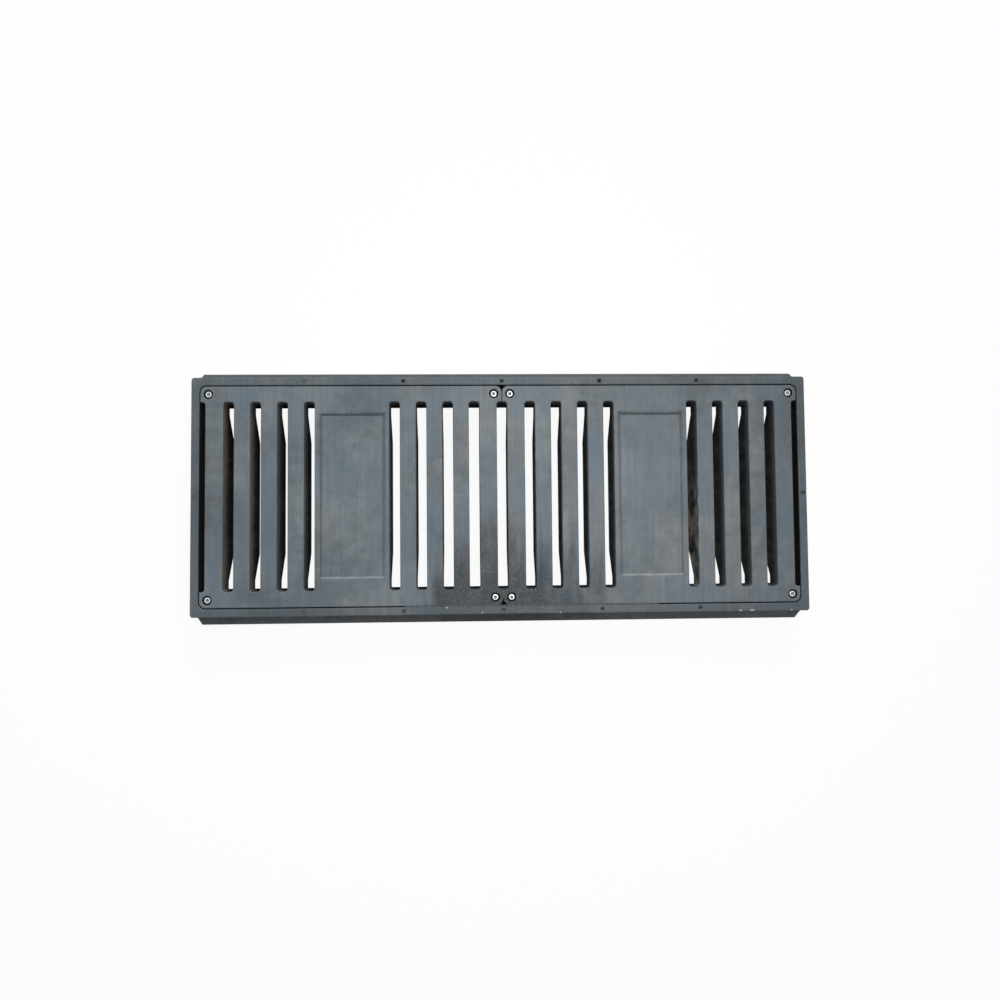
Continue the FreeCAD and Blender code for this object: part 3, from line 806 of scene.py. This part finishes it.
def screw_mesh(length):
    """A socket head cap screw whose head's seat is at the origin, with a knurled head and a thread."""
    bm = bmesh.new()

    def knurled(angle, number):
        return HEAD_RADIUS - KNURL_DEPTH * (number % 2)

    def threaded(height):
        def reach(angle, number):
            phase = (height / THREAD_PITCH - angle / (2 * math.pi)) % 1
            return SHANK_RADIUS - THREAD_DEPTH * abs(2 * phase - 1)

        return reach

    tip = -length + HEAD_HEIGHT
    profile = [(SHANK_RADIUS - THREAD_DEPTH, tip)]
    rows = round(THREAD_LENGTH / THREAD_PITCH * THREAD_STEPS)
    for row in range(rows + 1):
        height = tip + THREAD_DEPTH + THREAD_LENGTH * row / rows
        profile.append((threaded(height), height))
    profile += [
        (SHANK_RADIUS, tip + 2 * THREAD_DEPTH + THREAD_LENGTH),
        (SHANK_RADIUS, 0),
        (HEAD_RADIUS - HEAD_BEVEL, 0),
        (knurled, HEAD_BEVEL / 2),
        (knurled, HEAD_HEIGHT - 2 * HEAD_BEVEL),
        (HEAD_RADIUS - KNURL_DEPTH, HEAD_HEIGHT - 1.6 * HEAD_BEVEL),
        (HEAD_RADIUS - 0.3 * HEAD_BEVEL, HEAD_HEIGHT - 0.4 * HEAD_BEVEL),
        (HEAD_RADIUS - HEAD_BEVEL, HEAD_HEIGHT),
        (hexagon_reach(SOCKET_WIDTH + HEAD_BEVEL), HEAD_HEIGHT),
        (hexagon_reach(SOCKET_WIDTH), HEAD_HEIGHT - HEAD_BEVEL / 2),
        (hexagon_reach(SOCKET_WIDTH), HEAD_HEIGHT - SOCKET_DEPTH),
        (SOCKET_WIDTH / 8, HEAD_HEIGHT - SOCKET_DEPTH - SOCKET_TAPER),
    ]
    rings = [add_ring(bm, SCREW_SIDES, radius, height) for radius, height in profile]
    for lower, upper in zip(rings, rings[1:]):
        join_rings(bm, lower, upper)
    bm.faces.new(reversed(rings[0]))
    bm.faces.new(rings[-1])
    mesh = bpy.data.meshes.new("socket_screw")
    bm.to_mesh(mesh)
    bm.free()
    mesh.shade_smooth()
    mesh.set_sharp_from_angle(angle=SCREW_SHARP_ANGLE)
    return mesh


def make_screws(material):
    """A detailed screw at the place of each screw of the frame, each turned its own way."""
    lowest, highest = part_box("grate_screws")
    mesh = screw_mesh(highest.z - lowest.z)
    for number, (low, high) in enumerate(islands("grate_screws"), start=1):
        middle = (low + high) / 2
        place = Matrix.Translation((middle.x, middle.y, high.z - HEAD_HEIGHT))
        place @= Matrix.Rotation(SCREW_TURN * number, 4, "Z")
        name = f"socket_screw_{number}"
        link_piece(name, mesh, material, "stainless_steel", "grate_screws", place=place)


def add_lump(bm, sections):
    """A closed bar of soil through cross-sections with as many points each."""
    loops = [[bm.verts.new(point) for point in section] for section in sections]
    for before, after in zip(loops, loops[1:]):
        join_rings(bm, before, after)
    bm.faces.new(reversed(loops[0]))
    bm.faces.new(loops[-1])


def soil_strip(bm, start, end, gap, right_bevel, left_bevel):
    """Soil in a narrow gap that is bevelled at the top, uneven above and thinning out at both ends."""
    along = end - start
    side = Vector((along.y, -along.x, 0)).normalized()
    count = math.ceil(along.length / SOIL_STEP)
    half = gap / 2 - SOIL_CLEAR
    sections = []
    for number in range(count + 1):
        middle = start + along * number / count
        from_end = min(number, count - number) / count * along.length
        thin = 1 - min(1, from_end / SOIL_TAPER)
        rough = noise.noise(middle * 260) + noise.noise(middle * 900) / 2
        sink = STRIP_SINK + STRIP_ROUGHNESS * rough + STRIP_END_SINK * thin
        profile = (
            (half, -SOIL_DEPTH), (half, -right_bevel), (half + right_bevel - sink, -sink),
            (-half - left_bevel + sink, -sink), (-half, -left_bevel), (-half, -SOIL_DEPTH),
        )
        sections.append([middle + side * across + Vector((0, 0, up)) for across, up in profile])
    add_lump(bm, sections)


def soil_plug(bm, middle, size_x, size_y, sink):
    """Soil in a notch, with an uneven and dished top."""
    half_x = size_x / 2 - SOIL_CLEAR
    half_y = size_y / 2 - SOIL_CLEAR
    sections = []
    for number in range(PLUG_SECTIONS):
        x = half_x * (2 * number / (PLUG_SECTIONS - 1) - 1)
        tops = []
        for part in range(PLUG_POINTS):
            y = half_y * (1 - 2 * part / (PLUG_POINTS - 1))
            rough = noise.noise((middle + Vector((x, y, 0))) * 700)
            level = -sink * (1 - NOTCH_DISH * (y / half_y) ** 2)
            tops.append((y, level + PLUG_ROUGHNESS * rough))
        profile = [(-half_y, SOIL_CLEAR - NOTCH_DEPTH), (half_y, SOIL_CLEAR - NOTCH_DEPTH)] + tops
        sections.append([middle + Vector((x, y, up)) for y, up in profile])
    add_lump(bm, sections)


def make_packed_soil():
    """Soil in the front seam, in the joint between the grates and in the rim's notches."""
    bm = bmesh.new()
    rim = Vector((0, 0, RIM_LEVEL))
    start = rim + Vector((SEAM_FROM, SEAM_MIDDLE, 0))
    end = rim + Vector((SEAM_TO, SEAM_MIDDLE, 0))
    soil_strip(bm, start, end, SEAM_GAP, SEAM_FRONT_BEVEL, GRATE_BEVEL)
    for way in (-1, 1):
        start = rim + Vector((0, way * JOINT_FROM, 0))
        end = rim + Vector((0, way * JOINT_TO, 0))
        soil_strip(bm, start, end, JOINT_GAP, GRATE_BEVEL, GRATE_BEVEL)
        for number, sink in enumerate(NOTCH_SINKS[way], start=-2):
            middle = rim + Vector((number * NOTCH_PITCH, way * NOTCH_LINE, 0))
            soil_plug(bm, middle, NOTCH_ALONG, NOTCH_ACROSS, sink * MM)
        middle = rim + Vector((way * NOTCH_END, 0, 0))
        soil_plug(bm, middle, NOTCH_ACROSS, NOTCH_ALONG, END_SINKS[way] * MM)
    bmesh.ops.recalc_face_normals(bm, faces=bm.faces)
    mesh = bpy.data.meshes.new("packed_soil")
    bm.to_mesh(mesh)
    bm.free()
    mesh.shade_smooth()
    mesh.set_sharp_from_angle(angle=SOIL_SHARP_ANGLE)
    link_piece("packed_soil", mesh, soil_material(), "frame_composite")


def make_camera():
    """The photo's camera: its place, aim, lens and the slight lean of its picture."""
    camera = bpy.data.objects.new("camera", bpy.data.cameras.new("camera"))
    scene.collection.objects.link(camera)
    camera.data.sensor_width = SENSOR_WIDTH
    camera.data.lens = SENSOR_WIDTH * FOCAL_PIXELS / PICTURE_SIDE
    rim_middle = Vector((0, 0, RIM_LEVEL))
    forward = (CAMERA_TARGET - CAMERA_PLACE).normalized()
    right = forward.cross(Vector((PICTURE_LEAN, 1, 0))).normalized()
    up = right.cross(forward)
    turn = Matrix((right, up, -forward)).transposed().to_4x4()
    camera.matrix_world = Matrix.Translation(rim_middle + CAMERA_PLACE) @ turn
    scene.camera = camera


def make_lamp(name, place, size, power, colour, spread):
    """A large soft lamp aimed at the middle of the object."""
    lamp = bpy.data.lights.new(name, "AREA")
    lamp.size = size
    lamp.energy = power
    lamp.color = colour
    lamp.spread = math.radians(spread)
    holder = bpy.data.objects.new(name, lamp)
    scene.collection.objects.link(holder)
    away = Vector(place)
    holder.matrix_world = Matrix.Translation(away) @ away.to_track_quat("Z", "Y").to_matrix().to_4x4()


def make_sky():
    """A cool sky that is brighter behind the object, white to the eye."""
    world = bpy.data.worlds.new("sky")
    scene.world = world
    world.use_nodes = True
    world.node_tree.nodes.clear()
    w = Wiring(world.node_tree)
    behind = w.part(w.add("ShaderNodeTexCoord").outputs["Generated"], "Y")
    tone = w.mix(w.step(behind, -0.7, 0.7), SKY_FRONT, SKY_BEHIND)
    rays = w.add("ShaderNodeLightPath").outputs
    seen = w.math("MAXIMUM", rays["Is Glossy Ray"], rays["Is Transmission Ray"])
    seen = w.math("MAXIMUM", seen, rays["Is Camera Ray"])
    light = w.add("ShaderNodeBackground", {"Color": tone, "Strength": SKY_LEVEL})
    white = w.add("ShaderNodeBackground", {"Color": (1, 1, 1, 1), "Strength": 1.0})
    both = w.add("ShaderNodeMixShader", {0: seen, 1: light.outputs[0], 2: white.outputs[0]})
    w.set(w.add("ShaderNodeOutputWorld").inputs["Surface"], both.outputs[0])


def make_floor():
    """A level floor at the height of the object's underside."""
    bm = bmesh.new()
    bmesh.ops.create_grid(bm, x_segments=1, y_segments=1, size=FLOOR_REACH)
    mesh = bpy.data.meshes.new("floor")
    bm.to_mesh(mesh)
    bm.free()
    floor = bpy.data.objects.new("floor", mesh)
    scene.collection.objects.link(floor)
    floor.location.z = cad_box[0].z
    mesh.materials.append(floor_material())


def main():
    """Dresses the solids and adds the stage."""
    scene.view_settings.view_transform = "Standard"
    frame_skin = composite_material("frame_composite", FRAME_TONES, on_frame=True)
    grate_skin = composite_material("grate_composite", GRATE_TONES, on_frame=False)
    link_piece("frame_moulding", rounded_mesh("frame"), frame_skin, "frame_composite", "frame")
    for side in ("left", "right"):
        node = f"grate_{side}"
        link_piece(f"{node}_moulding", rounded_mesh(node), grate_skin, "grate_composite", node)
    make_screws(steel_material())
    make_packed_soil()
    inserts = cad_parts["threaded_inserts"]
    inserts.data.materials.clear()
    inserts.data.materials.append(brass_material())
    make_floor()
    make_sky()
    for settings in LAMPS:
        make_lamp(*settings)
    make_camera()


main()
